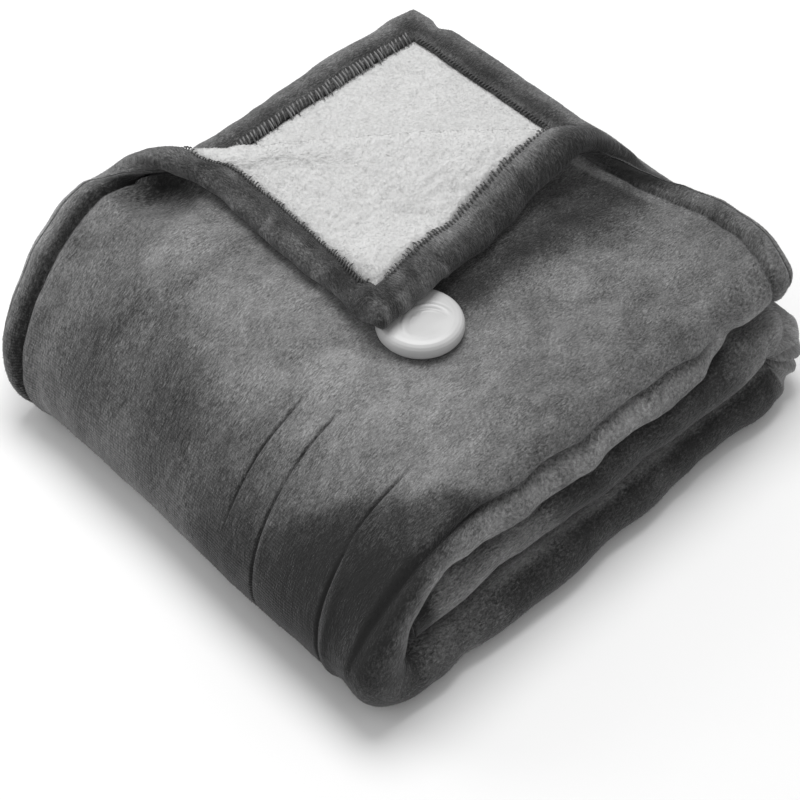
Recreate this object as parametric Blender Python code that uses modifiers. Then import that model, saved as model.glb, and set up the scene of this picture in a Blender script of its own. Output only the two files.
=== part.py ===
"""Electric heated blanket, folded: one long plush throw with a sherpa reverse,
folded in half along its length, then rolled up in three.  Metres, +Z up.

Both cloth panels are modelled flat, with their turned hem, and then folded by
one map, fold(u, v, w):
    u  along the cloth, from the free end on top to the end inside the roll
    v  across the cloth, from the open side of the upper layer, round the long
       fold at +X, to the open side of the lower layer
    w  through the cloth, + toward the plush face
"""
import bpy
import bmesh
from math import pi, sin, cos, hypot, exp, ceil
from mathutils import Vector
import numpy as np

for old in list(bpy.data.objects):
    bpy.data.objects.remove(old, do_unlink=True)

# ------------------------------------------------------------------ sizes
CLOTH_WIDTH = 0.980          # across the long fold
CLOTH_LENGTH = 1.425
HALF_THICK = 0.0068          # half of one layer, plush face to sherpa pile
FACE_PLY = 0.0035            # plush face cloth
PLY_GAP = 0.0005             # between face cloth and sherpa
LAYER_HALF_GAP = 0.0150      # half the distance between the two layers' centres
HEM = 0.027                  # turned hem, edge to stitch line
LIP = 0.026                  # hem's turned part on the sherpa side
LIP_DROP = 0.0006            # the lip stands this far proud of the sherpa
LIP_GAP = 0.0017             # between the lip and the sherpa it covers
GROUP_PITCH = 0.0470         # height from one folded part to the next

EDGE_LEFT = -0.237           # open side of the upper layer
Y_FREE_END = 0.242           # free end of the top part
Y_FRONT = -0.240             # centre line of the front roll, furthest point
ROLL_UPPER = 0.110           # upper quarter of the front roll, length along Y
ROLL_LOWER = 0.0285          # lower quarter, radius
Y_BACK_TURN = 0.195          # where the back turn starts

CROWN = 0.012                # rise in the middle of the top
LEAN = 0.40                  # the top part's folded edge leans out toward its foot
PINCH = 0.009                # valley along that edge's shoulder
PINCH_AT = 0.0200            # distance round the fold
PINCH_WIDE = 0.0130
END_CLOSED = 0.0062          # the layers come together at the inner end
END_SUNK = 0.0060            # which sinks as far
CORNER_ROUND = 0.0095        # pull on the free end's corners
CORNER_REACH = 0.024
TUCK = 0.025                 # the top part's lower half is tucked in toward the back
TUCK_FRONT = 0.016           # and where it passes into the front roll
FRONT_FULL = 0.007           # the front roll stands out further toward +X

FLAP_LEFT = (-0.2087, -0.0663)    # crest of the turned-down corner, left end
FLAP_RIGHT = (0.0390, 0.1860)     # and right end, in plan
FLAP_BEND = 0.0125                # bend radius at the left
FLAP_BEND_MORE = 0.0100           # more at the right, where it is puffed up
FLAP_BOW = 0.0060                 # the crest bows forward toward its left end
FLAP_PULLED = 0.014               # and that end is pulled in along the crest
FLAP_CUTS = 7
FLAP_DRAWN = 1.00                 # the flap is drawn up this much, crest to tip
FLAP_SLIDE = 0.020                # and its tip slides to the left
FLAP_CURL = 0.018                 # its hems curl down with this radius
FLAP_CURL_MOST = 0.60             # as far as this angle
FLAP_CLEAR = 0.0040               # clear height under the flap
CONNECTOR_AT = (0.0725, -0.0495)
CONNECTOR_R = (0.0355, 0.0340)    # half sizes in plan
CONNECTOR_H = 0.0150
CONNECTOR_TURN = 0.55
FLAP_OVER_CONNECTOR = 0.0190      # clear height where the flap crosses it

SHIFT = (-0.0066, 0.0102)         # puts the origin at the centre of the base

HALF_TURN = pi * LAYER_HALF_GAP
LAYER = (CLOTH_WIDTH - HALF_TURN) / 2          # one layer, hem to long fold
X_FOLD = EDGE_LEFT + LAYER
Z_BOTTOM = LAYER_HALF_GAP + HALF_THICK
Z_MIDDLE = Z_BOTTOM + GROUP_PITCH
Z_TOP = Z_MIDDLE + GROUP_PITCH

# how far each part's sides are drawn in (+) or out, by place along the cloth
#            u     left   right
SIDES = [(0.000, 0.000, -0.018),
         (0.100, -0.004, -0.016),
         (0.300, 0.001, -0.016),
         (0.350, -0.002, -0.014),
         (0.400, 0.005, -0.011),
         (0.440, 0.019, -0.009),
         (0.500, 0.040, -0.005),
         (0.560, 0.052, -0.001),
         (0.640, 0.050, 0.003),
         (0.800, 0.036, 0.003),
         (0.960, 0.020, 0.000),
         (1.050, 0.012, -0.004),
         (1.100, 0.012, -0.007),
         (1.150, 0.012, -0.009),
         (1.220, 0.012, -0.009),
         (1.300, 0.012, -0.010),
         (1.425, 0.012, -0.012)]

# how far the upper layer is drawn back at the free end, by place across the cloth
#                  v     back
DRAWN_BACK = [(0.000, 0.012),
              (0.070, 0.028),
              (0.140, 0.036),
              (0.277, 0.038),
              (0.337, 0.028),
              (0.392, 0.012),
              (0.430, 0.010),
              (0.466, 0.006),
              (0.500, 0.000)]


def smooth(x, a, b):
    t = min(max((x - a) / (b - a), 0.0), 1.0)
    return t * t * (3 - 2 * t)


def from_table(table, column, x):
    return float(np.interp(x, [r[0] for r in table], [r[column] for r in table]))


# ------------------------------------------------------ the rolled-up path
def rolled_path():
    """Centre line of the doubled cloth in the Y-Z plane, and its stations."""
    z_mid = Z_BOTTOM + ROLL_LOWER
    y_up = Y_FRONT + ROLL_UPPER
    y_low = Y_FRONT + ROLL_LOWER
    r = GROUP_PITCH / 2
    fine = np.linspace(0, 1, 80)
    runs = [  # name, points, cells along it
        ("top", [(Y_FREE_END + (y_up - Y_FREE_END) * t, Z_TOP) for t in fine], 6),
        ("front upper", [(y_up - ROLL_UPPER * sin(pi / 2 * t),
                          z_mid + (Z_TOP - z_mid) * cos(pi / 2 * t)) for t in fine], 5),
        ("front lower", [(y_low - ROLL_LOWER * cos(pi / 2 * t),
                          z_mid - ROLL_LOWER * sin(pi / 2 * t)) for t in fine], 4),
        ("bottom", [(y_low + (Y_BACK_TURN - y_low) * t, Z_BOTTOM) for t in fine], 2),
        ("back turn", [(Y_BACK_TURN + r * sin(pi * t), Z_BOTTOM + r - r * cos(pi * t))
                       for t in fine], 7),
        ("middle", [(Y_BACK_TURN - 0.50 * t, Z_MIDDLE) for t in fine], 0)]
    points, ends, cells = [], [], []
    for name, run, count in runs:
        points += run if not points else run[1:]
        ends.append(len(points) - 1)
        cells.append(count)
    p = np.array(points)
    step = np.hypot(*np.diff(p, axis=0).T)
    s = np.concatenate([[0], np.cumsum(step)])
    t = np.gradient(p, s, axis=0)
    t /= np.linalg.norm(t, axis=1)[:, None]
    return s, p, np.stack([t[:, 1], -t[:, 0]], 1), [float(s[e]) for e in ends], cells


PATH_S, PATH_P, PATH_N, RUN_ENDS, RUN_CELLS = rolled_path()


def path(u):
    y, z = (float(np.interp(u, PATH_S, PATH_P[:, k])) for k in (0, 1))
    ny, nz = (float(np.interp(u, PATH_S, PATH_N[:, k])) for k in (0, 1))
    d = hypot(ny, nz)
    return y - min(u, 0.0), z, ny / d, nz / d


# ------------------------------------------------------ the flap's own frame
FLAP_L = Vector(FLAP_LEFT)
FLAP_ALONG = (Vector(FLAP_RIGHT) - FLAP_L).normalized()
FLAP_OUT = Vector((-FLAP_ALONG.y, FLAP_ALONG.x))
FLAP_SPAN = (Vector(FLAP_RIGHT) - FLAP_L).length


# the way in from the flap's two hems, in plan: from its right one and its left one
FLAP_IN_U = FLAP_OUT * FLAP_OUT.y - FLAP_ALONG * FLAP_ALONG.y
FLAP_IN_V = FLAP_ALONG * FLAP_ALONG.x - FLAP_OUT * FLAP_OUT.x


def flap_bend(s):
    return FLAP_BEND + FLAP_BEND_MORE * smooth(s, 0.20 * FLAP_SPAN, 1.0 * FLAP_SPAN)


def flap_clear(x, y, back, start):
    """Clear height under the flap, from the crest to its tip."""
    low = FLAP_CLEAR
    d = hypot(x - CONNECTOR_AT[0], y - CONNECTOR_AT[1])
    over = FLAP_OVER_CONNECTOR * (1 - smooth(d, 0.050, 0.120))
    settled = max(low, over)
    return settled + (start - settled) * (1 - smooth(back, 0.0, 0.10))


def curl(d, h, room):
    """A hem that curls down beyond its stitch line: how far out and how far down."""
    angle = min(max(room / 0.034, 0.0), FLAP_CURL_MOST)
    bent = min(d / FLAP_CURL, angle)
    rest = max(d - FLAP_CURL * angle, 0.0)
    out = FLAP_CURL * sin(bent) + rest * cos(bent) + h * sin(bent)
    down = FLAP_CURL * (1 - cos(bent)) + rest * sin(bent) + h * (1 - cos(bent))
    return out, down


def laid(u, v, w):
    """Folded in half and rolled up, before the corner is turned down."""
    # the free end's two corners are rounded
    for across, inward in ((v, 1), (CLOTH_WIDTH - v, -1)):
        pull = CORNER_ROUND * exp(-(hypot(u, across) / CORNER_REACH) ** 2) * 0.7071
        u, v = u + pull, v + inward * pull
    # across: the upper layer, round the long fold, the lower layer
    closing = smooth(u, 1.28, 1.37)
    r = LAYER_HALF_GAP - END_CLOSED * closing + w
    if v < LAYER:
        x, n = EDGE_LEFT + v, r
    elif v > LAYER + HALF_TURN:
        x, n = X_FOLD - (v - LAYER - HALF_TURN), -r
    else:
        a = (v - LAYER) / LAYER_HALF_GAP
        x, n = X_FOLD + r * sin(a), r * cos(a)
    # along: rolled up in three
    y0, z0, ny, nz = path(u)
    y, z = y0 + n * ny, z0 + n * nz - END_SUNK * closing
    # the top part's folded edge leans, with a valley along its shoulder
    top = 1 - smooth(u, 0.36, 0.50)
    x -= LEAN * n * smooth(x, X_FOLD - 0.10, X_FOLD) * top
    round_it = exp(-((v - LAYER - PINCH_AT) / PINCH_WIDE) ** 2)
    x -= PINCH * smooth(u, 0.03, 0.10) * top * round_it * r / (LAYER_HALF_GAP + HALF_THICK)
    tuck = TUCK * (1 - smooth(u, 0.08, 0.27)) + TUCK_FRONT * exp(-((u - 0.425) / 0.045) ** 2)
    x -= tuck * smooth(v - LAYER, 0.008, 0.042) * (1 - smooth(v - LAYER, HALF_TURN, HALF_TURN + 0.13))
    # each part's sides
    t = min(max((x - EDGE_LEFT) / (X_FOLD - EDGE_LEFT), 0.0), 1.0)
    x += from_table(SIDES, 1, u) * (1 - t) + from_table(SIDES, 2, u) * t
    # the lower layer's open side, near the free end
    x += 0.010 * smooth(v, 0.60, CLOTH_WIDTH) * (1 - smooth(u, 0.25, 0.45))
    # the free end is rounded back at the long fold, and its upper layer drawn back
    y -= 0.026 * smooth(x, 0.165, 0.250) * (1 - smooth(u, 0.02, 0.20))
    y -= from_table(DRAWN_BACK, 1, v) * (1 - smooth(u, 0.0, 0.30))
    y -= FRONT_FULL * smooth(x, -0.10, 0.15) * smooth(u, 0.42, 0.52) * (1 - smooth(u, 0.58, 0.70))
    return x, y, z, v < LAYER


def fold(u, v, w):
    x, y, z, upper = laid(u, v, w)
    # the corner of the upper layer turned down over the top
    if upper and u < 0.45:
        pulled = smooth(u, 0.02, 0.30) * (1 - smooth(u, 0.31, 0.39)) * (1 - smooth(v, 0.02, 0.15))
        p = Vector((x, y)) - FLAP_L + FLAP_ALONG * (FLAP_PULLED * pulled)
        x, y = p.x + FLAP_L.x, p.y + FLAP_L.y
        s, q = p.dot(FLAP_ALONG), p.dot(FLAP_OUT)
        r = flap_bend(s)
        bow = FLAP_BOW * (1 - smooth(s, 0.05, 0.20))
        q += r + bow
        if q > 0:
            turned = min(q / r, pi)
            out = (r - w) * sin(turned)
            rise = r - (r - w) * cos(turned) - w
            back = (q - pi * r) * FLAP_DRAWN
            if back > 0:
                out = -back
                s -= FLAP_SLIDE * (back / 0.20) ** 2
            at = FLAP_L + FLAP_ALONG * s + FLAP_OUT * (out - r - bow)
            if back > 0:
                clear = flap_clear(at.x, at.y, back, 2 * r - 2 * HALF_THICK)
                rise = 2 * HALF_THICK + clear - 2 * w
                du, dv = max(HEM - u, 0.0), max(HEM - v, 0.0)
                d = hypot(du, dv)
                if d > 0:
                    off = hypot(at.x - CONNECTOR_AT[0], at.y - CONNECTOR_AT[1]) - CONNECTOR_R[0]
                    room = clear - 0.0025 - CONNECTOR_H * (1 - smooth(off, 0.004, 0.016))
                    out, down = curl(d, -w, room * smooth(back, 0.0, 0.05))
                    at += (FLAP_IN_U * du + FLAP_IN_V * dv) * ((d - out) / d)
                    rise -= down
            x, y, z = at.x, at.y, z + rise
    # the bundle is highest in the middle and flat below
    z += CROWN * max(1 - (x / 0.275) ** 2, 0) * max(1 - (y / 0.295) ** 2, 0) * z / Z_TOP
    return Vector((x + SHIFT[0], y + SHIFT[1], z))


def flat_place(x, y):
    """Where a point of the laid upper layer is on the flat cloth."""
    u, v = Y_FREE_END - y, x - EDGE_LEFT
    for _ in range(25):
        x1, y1, _z, _upper = laid(u, v, 0.0)
        u, v = u + (y1 - y), v + (x - x1)
    return Vector((u, v, 0))


# ------------------------------------------------------------- flat panels
def spaced(a, b, n):
    return [a + (b - a) * i / n for i in range(1, n + 1)]


def stations():
    us = [HEM, HEM + 0.014]
    at = us[-1]
    for end, n in zip(RUN_ENDS[:-1], RUN_CELLS[:-1]):
        us += spaced(at, end, n)
        at = end
    us += spaced(at, CLOTH_LENGTH - HEM - 0.014, 3) + [CLOTH_LENGTH - HEM]
    vs = [HEM, HEM + 0.014] + spaced(HEM + 0.014, LAYER, 5)
    vs += spaced(LAYER, LAYER + HALF_TURN, 8)
    vs += spaced(LAYER + HALF_TURN, CLOTH_WIDTH - HEM - 0.014, 4) + [CLOTH_WIDTH - HEM]
    return us, vs


def split_quads(bm):
    """Every cell split along the same diagonal, so that the plies bend alike."""
    for f in [f for f in bm.faces if len(f.verts) == 4]:
        a = min(f.verts, key=lambda v: v.co.x + v.co.y + 0.01 * v.co.z)
        loop = next(l for l in f.loops if l.vert == a)
        bmesh.utils.face_split(f, a, loop.link_loop_next.link_loop_next.vert)


def flat_sheet():
    """The whole cloth, flat, cut where it will bend: x is u, y is v."""
    bm = bmesh.new()
    bmesh.ops.create_grid(bm, x_segments=1, y_segments=1, size=0.5)
    for vert in bm.verts:
        vert.co = Vector(((vert.co.x + 0.5) * CLOTH_LENGTH, (vert.co.y + 0.5) * CLOTH_WIDTH, 0))
    us, vs = stations()
    cuts = [((u, 0, 0), (1, 0, 0)) for u in us] + [((0, v, 0), (0, 1, 0)) for v in vs]
    for co, no in cuts:
        bmesh.ops.bisect_plane(bm, geom=bm.verts[:] + bm.edges[:] + bm.faces[:],
                               plane_co=co, plane_no=no, dist=1e-6)
    bmesh.ops.remove_doubles(bm, verts=bm.verts[:], dist=0.00005)
    split_quads(bm)
    bmesh.ops.triangulate(bm, faces=[f for f in bm.faces if len(f.verts) > 3])
    if sum(f.normal.z for f in bm.faces) < 0:
        bmesh.ops.reverse_faces(bm, faces=bm.faces[:])
    return bm


def cut_for_flap(bm):
    """Parallel cuts where the turned-down corner bends, through that corner only."""
    split_quads(bm)
    widest = pi * (FLAP_BEND + FLAP_BEND_MORE)
    base = FLAP_L + FLAP_OUT * (-FLAP_BEND)
    for k in range(FLAP_CUTS + 1):
        on = base + FLAP_OUT * (widest * k / FLAP_CUTS)
        one, two = (flat_place(*(on + FLAP_ALONG * reach)) for reach in (0.01, 0.33))
        line = (two - one).normalized()
        near = [f for f in bm.faces if f.calc_center_median().x < 0.40
                and f.calc_center_median().y < LAYER]
        geom = list({v for f in near for v in f.verts}) + list({e for f in near for e in f.edges}) + near
        bmesh.ops.bisect_plane(bm, geom=geom, dist=1e-5,
                               plane_co=one, plane_no=(-line.y, line.x, 0))
    bmesh.ops.triangulate(bm, faces=[f for f in bm.faces if len(f.verts) > 3])


# the hem's section: out from the cut edge, and height through the cloth
#            out              w
HEM_ROWS = [(0.0062, 0.50 * HALF_THICK),
            (0.0062, -0.50 * HALF_THICK),
            (0.0000, -1.0 * HALF_THICK - LIP_DROP),
            (-LIP, -1.0 * HALF_THICK - LIP_DROP)]


def face_sheet():
    """Plush face's outer surface with its turned hem, flat."""
    bm = flat_sheet()
    for vert in bm.verts:
        vert.co.z = HALF_THICK
    home = {k: bm.verts.layers.float.new(k) for k in ("home_u", "home_v")}
    for vert in bm.verts:
        vert[home["home_u"]], vert[home["home_v"]] = vert.co.x, vert.co.y
    edges = [e for e in bm.edges if e.is_boundary]
    tiny = 1e-5
    for out, w in HEM_ROWS:
        made = bmesh.ops.extrude_edge_only(bm, edges=edges)["geom"]
        edges = [g for g in made if isinstance(g, bmesh.types.BMEdge)
                 and sum(1 for v in g.verts if v in made) == 2 and g.is_boundary]
        for vert in {v for e in edges for v in e.verts}:
            u, v = vert[home["home_u"]], vert[home["home_v"]]
            ends = (u < tiny) - (u > CLOTH_LENGTH - tiny), (v < tiny) - (v > CLOTH_WIDTH - tiny)
            keep = max(-out, 0.0)                       # mitred at the corners
            u2 = u - ends[0] * out if ends[0] else min(max(u, keep), CLOTH_LENGTH - keep)
            v2 = v - ends[1] * out if ends[1] else min(max(v, keep), CLOTH_WIDTH - keep)
            vert.co = Vector((u2, v2, w))
    bmesh.ops.recalc_face_normals(bm, faces=bm.faces[:])
    top = max(bm.faces, key=lambda f: f.calc_area())
    if top.normal.z < 0:
        bmesh.ops.reverse_faces(bm, faces=bm.faces[:])
    return bm


def lining_solid():
    """Sherpa under the face cloth, thinner where the hem's lip covers it, flat."""
    bm = flat_sheet()
    top = HALF_THICK - FACE_PLY - PLY_GAP
    inset = 0.0015
    for vert in bm.verts:
        vert.co.x = min(max(vert.co.x, inset), CLOTH_LENGTH - inset)
        vert.co.y = min(max(vert.co.y, inset), CLOTH_WIDTH - inset)
        vert.co.z = top
    made = bmesh.ops.extrude_face_region(bm, geom=bm.faces[:], use_keep_orig=True)["geom"]
    lower = [g for g in made if isinstance(g, bmesh.types.BMVert)]
    for vert in lower:
        edge = min(vert.co.x, vert.co.y, CLOTH_LENGTH - vert.co.x, CLOTH_WIDTH - vert.co.y)
        covered = -HALF_THICK - LIP_DROP + FACE_PLY + LIP_GAP
        vert.co.z = covered if edge < HEM + 0.001 else -HALF_THICK
    bmesh.ops.recalc_face_normals(bm, faces=bm.faces[:])
    cut_for_flap(bm)
    return bm


def material(name, colour, roughness):
    m = bpy.data.materials.new(name)
    m.use_nodes = True
    p = m.node_tree.nodes["Principled BSDF"]
    p.inputs["Base Color"].default_value = (*colour, 1)
    p.inputs["Roughness"].default_value = roughness
    p.inputs["Metallic"].default_value = 0.0
    return m


blanket = bpy.data.collections.new("electric_heated_blanket")
bpy.context.scene.collection.children.link(blanket)
cutters = bpy.data.collections.new("cutters")
bpy.context.scene.collection.children.link(cutters)


def add_object(name, mesh, mat, where=blanket):
    ob = bpy.data.objects.new(name, mesh)
    where.objects.link(ob)
    if mat:
        mesh.materials.clear()
        mesh.materials.append(mat)
    return ob


def from_bmesh(name, bm, mat, where=blanket):
    mesh = bpy.data.meshes.new(name)
    bm.to_mesh(mesh)
    bm.free()
    return add_object(name, mesh, mat, where)


def folded(mesh):
    for vert in mesh.vertices:
        vert.co = fold(*vert.co)
    mesh.update()


plush = material("plush_grey", (0.105, 0.105, 0.107), 0.95)
sherpa = material("sherpa_white", (0.78, 0.78, 0.77), 0.98)
plastic = material("plastic_white", (0.74, 0.74, 0.74), 0.42)

# face panel: the open sheet gets its thickness while flat, and is then folded
draft = from_bmesh("face_draft", face_sheet(), None, cutters)
shell = draft.modifiers.new("Thickness", "SOLIDIFY")
shell.thickness = FACE_PLY
shell.offset = -1
shell.use_even_offset = True
bpy.context.view_layer.update()
face_mesh = bpy.data.meshes.new_from_object(
    draft.evaluated_get(bpy.context.evaluated_depsgraph_get()))
bpy.data.objects.remove(draft, do_unlink=True)
bm = bmesh.new()
bm.from_mesh(face_mesh)
cut_for_flap(bm)
bm.to_mesh(face_mesh)
bm.free()
folded(face_mesh)
face = add_object("face_panel", face_mesh, plush)

lining = from_bmesh("lining_panel", lining_solid(), sherpa)
folded(lining.data)

# connector: a rounded puck with a shallow dished grip, resting on the cloth
seat = max(fold(Y_FREE_END - (CONNECTOR_AT[1] + dy), CONNECTOR_AT[0] + dx - EDGE_LEFT, HALF_THICK).z
           for dx in (-0.036, -0.018, 0, 0.018, 0.036) for dy in (-0.036, -0.018, 0, 0.018, 0.036))
#            radius, height
PUCK = [(0.000, 0.0000), (0.880, 0.0000), (0.965, 0.0900), (1.000, 0.3200), (0.992, 0.5600),
        (0.950, 0.7900), (0.870, 0.9150), (0.700, 0.9700), (0.400, 0.9930), (0.000, 1.0000)]
bm = bmesh.new()
ring = [bm.verts.new((r, 0, h * CONNECTOR_H)) for r, h in PUCK]
for a, b in zip(ring, ring[1:]):
    bm.edges.new((a, b))
connector = from_bmesh("connector", bm, plastic)
turn = connector.modifiers.new("Turned", "SCREW")
turn.angle = 2 * pi
turn.steps = 20
turn.render_steps = 20
turn.screw_offset = 0
turn.use_merge_vertices = True
turn.merge_threshold = 0.0001
turn.use_normal_calculate = True
bpy.context.view_layer.update()
round_mesh = bpy.data.meshes.new_from_object(
    connector.evaluated_get(bpy.context.evaluated_depsgraph_get()))
connector.modifiers.clear()
for vert in round_mesh.vertices:
    vert.co.x *= CONNECTOR_R[0]
    vert.co.y *= CONNECTOR_R[1]
bm = bmesh.new()
bm.from_mesh(round_mesh)
bmesh.ops.remove_doubles(bm, verts=bm.verts[:], dist=0.00005)
bmesh.ops.recalc_face_normals(bm, faces=bm.faces[:])
bm.to_mesh(round_mesh)
bm.free()
connector.data = round_mesh
round_mesh.materials.clear()
round_mesh.materials.append(plastic)
connector.location = (CONNECTOR_AT[0] + SHIFT[0], CONNECTOR_AT[1] + SHIFT[1], seat + 0.0006)
connector.rotation_euler.z = CONNECTOR_TURN

bm = bmesh.new()
bmesh.ops.create_uvsphere(bm, u_segments=24, v_segments=12, radius=0.075)
dish = from_bmesh("dish_cutter", bm, None, cutters)
dish.location = (CONNECTOR_AT[0] + SHIFT[0] - 0.006, CONNECTOR_AT[1] + SHIFT[1] + 0.005,
                 seat + 0.0006 + CONNECTOR_H + 0.075 - 0.0022)
dish.hide_render = True
dish.display_type = "WIRE"
cut = connector.modifiers.new("Dish", "BOOLEAN")
cut.operation = "DIFFERENCE"
cut.solver = "EXACT"
cut.object = dish
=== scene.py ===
import bpy
import bmesh
import numpy as np
from math import pi, sin, cos, radians
from mathutils import Matrix, Vector


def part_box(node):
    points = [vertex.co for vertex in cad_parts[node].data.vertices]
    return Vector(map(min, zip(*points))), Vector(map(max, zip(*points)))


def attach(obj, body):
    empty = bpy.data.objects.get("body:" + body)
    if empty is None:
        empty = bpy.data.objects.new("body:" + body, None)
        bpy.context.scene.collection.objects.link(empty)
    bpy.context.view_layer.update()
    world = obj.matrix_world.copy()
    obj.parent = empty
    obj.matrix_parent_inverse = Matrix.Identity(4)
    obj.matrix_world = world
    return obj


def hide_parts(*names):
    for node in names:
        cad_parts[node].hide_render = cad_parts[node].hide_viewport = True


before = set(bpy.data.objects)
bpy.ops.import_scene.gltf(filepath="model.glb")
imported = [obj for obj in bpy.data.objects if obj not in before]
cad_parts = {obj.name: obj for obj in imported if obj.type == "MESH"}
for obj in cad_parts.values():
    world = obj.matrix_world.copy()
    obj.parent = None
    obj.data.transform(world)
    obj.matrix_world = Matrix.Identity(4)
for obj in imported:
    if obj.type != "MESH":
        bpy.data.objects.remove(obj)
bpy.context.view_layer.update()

# =====================================================================
# sizes, as in the frame (metres)
# =====================================================================
WIDTH, LENGTH = 0.980, 1.425
HALF_THICK = 0.0068
LAYER_HALF_GAP = 0.0150
HEM, LIP, LIP_DROP = 0.027, 0.026, 0.0006
GROUP_PITCH = 0.0470
EDGE_LEFT = -0.237
Y_FREE_END, Y_FRONT = 0.242, -0.240
ROLL_UPPER, ROLL_LOWER = 0.110, 0.0285
Y_BACK_TURN = 0.195
CROWN = 0.012
LEAN = 0.40
PINCH, PINCH_AT, PINCH_WIDE = 0.009, 0.0200, 0.0130
TUCK, TUCK_FRONT = 0.019, 0.016
END_CLOSED, END_SUNK = 0.0062, 0.0060
CORNER_ROUND, CORNER_REACH = 0.0095, 0.024
FRONT_FULL = 0.007
FLAP_LEFT, FLAP_RIGHT = (-0.2087, -0.0663), (0.0390, 0.1860)
FLAP_BEND, FLAP_BEND_MORE = 0.0125, 0.0100
FLAP_BOW, FLAP_PULLED = 0.0060, 0.014
FLAP_DRAWN, FLAP_SLIDE = 1.00, 0.018
FLAP_CURL, FLAP_CURL_MOST = 0.018, 0.85
FLAP_CLEAR, FLAP_OVER_CONNECTOR = 0.0040, 0.0190
HEM_DRAWN, SIDE_LIFTED = 0.009, 0.019            # the turned corner's left hem: narrowed, and nearer the crest
CONNECTOR_AT = (0.0725, -0.0495)
CONNECTOR_R, CONNECTOR_H, CONNECTOR_TURN = (0.0355, 0.0340), 0.0150, 0.55
SHIFT = (-0.0066, 0.0102)
HALF_TURN = pi * LAYER_HALF_GAP
LAYER = (WIDTH - HALF_TURN) / 2
X_FOLD = EDGE_LEFT + LAYER
Z_BOTTOM = LAYER_HALF_GAP + HALF_THICK
Z_MIDDLE = Z_BOTTOM + GROUP_PITCH
Z_TOP = Z_MIDDLE + GROUP_PITCH

# how far each part's sides are drawn in (+) or out, by place along the cloth
#            u     left   right
SIDES = [(0.000, 0.000, -0.018),
         (0.100, -0.004, -0.016),
         (0.300, -0.003, -0.016),
         (0.335, -0.010, -0.015),
         (0.370, -0.009, -0.013),
         (0.400, 0.002, -0.011),
         (0.440, 0.017, -0.009),
         (0.500, 0.042, -0.005),
         (0.560, 0.060, -0.001),
         (0.640, 0.060, 0.003),
         (0.800, 0.042, 0.003),
         (0.960, 0.020, 0.000),
         (1.050, 0.012, -0.004),
         (1.100, 0.012, -0.007),
         (1.150, 0.012, -0.009),
         (1.220, 0.012, -0.009),
         (1.300, 0.012, -0.010),
         (1.425, 0.012, -0.012)]

# how far the upper layer is drawn back at the free end, by place across the cloth
#                  v     back
DRAWN_BACK = [(0.000, 0.012),
              (0.070, 0.028),
              (0.140, 0.036),
              (0.277, 0.038),
              (0.337, 0.028),
              (0.392, 0.012),
              (0.430, 0.010),
              (0.466, 0.006),
              (0.500, 0.000)]


def smooth(x, a, b):
    t = np.clip((x - a) / (b - a), 0.0, 1.0)
    return t * t * (3 - 2 * t)


def bump(x, centre, wide):
    return np.exp(-((x - centre) / wide) ** 2)


def table(rows, column, x):
    return np.interp(x, [r[0] for r in rows], [r[column] for r in rows])


class Lumps:
    """Smooth noise on a lattice, from -1 to 1, the same on each run."""

    def __init__(self, seed):
        self.grid = np.random.default_rng(seed).uniform(-1, 1, (256, 256))

    def __call__(self, x, y, size):
        x, y = np.asarray(x) / size + 40.3, np.asarray(y) / size + 51.7
        i, j = np.floor(x).astype(int), np.floor(y).astype(int)
        a, b = x - i, y - j
        a, b = a * a * a * (a * (a * 6 - 15) + 10), b * b * b * (b * (b * 6 - 15) + 10)
        i, j = i % 256, j % 256
        i2, j2 = (i + 1) % 256, (j + 1) % 256
        g = self.grid
        return (g[i, j] * (1 - a) * (1 - b) + g[i2, j] * a * (1 - b)
                + g[i, j2] * (1 - a) * b + g[i2, j2] * a * b)


LUMPS, LUMPS_B, LUMPS_C = Lumps(3), Lumps(11), Lumps(29)


# =====================================================================
# the fold: u along the cloth, v across it, w through it (+ plush side)
# =====================================================================
def rolled_path():
    z_mid = Z_BOTTOM + ROLL_LOWER
    y_up, y_low, r = Y_FRONT + ROLL_UPPER, Y_FRONT + ROLL_LOWER, GROUP_PITCH / 2
    t = np.linspace(0, 1, 80)
    runs = [(Y_FREE_END + (y_up - Y_FREE_END) * t, Z_TOP + 0 * t),
            (y_up - ROLL_UPPER * np.sin(pi / 2 * t), z_mid + (Z_TOP - z_mid) * np.cos(pi / 2 * t)),
            (y_low - ROLL_LOWER * np.cos(pi / 2 * t), z_mid - ROLL_LOWER * np.sin(pi / 2 * t)),
            (y_low + (Y_BACK_TURN - y_low) * t, Z_BOTTOM + 0 * t),
            (Y_BACK_TURN + r * np.sin(pi * t), Z_BOTTOM + r - r * np.cos(pi * t)),
            (Y_BACK_TURN - 0.50 * t, Z_MIDDLE + 0 * t)]
    pts, ends = [], []
    for y, z in runs:
        p = np.stack([y, z], 1)
        pts.append(p if not pts else p[1:])
        ends.append(sum(len(q) for q in pts) - 1)
    p = np.concatenate(pts)
    s = np.concatenate([[0], np.cumsum(np.hypot(*np.diff(p, axis=0).T))])
    d = np.gradient(p, s, axis=0)
    d /= np.linalg.norm(d, axis=1)[:, None]
    return s, p, np.stack([d[:, 1], -d[:, 0]], 1), [float(s[e]) for e in ends]


PATH_S, PATH_P, PATH_N, RUN_ENDS = rolled_path()
U_TOP, U_ROLL_MID, U_ROLL, U_BOTTOM, U_TURN = RUN_ENDS[:5]


def path(u):
    y, z = (np.interp(u, PATH_S, PATH_P[:, k]) for k in (0, 1))
    ny, nz = (np.interp(u, PATH_S, PATH_N[:, k]) for k in (0, 1))
    d = np.hypot(ny, nz)
    return y - np.minimum(u, 0.0), z, ny / d, nz / d


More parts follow.
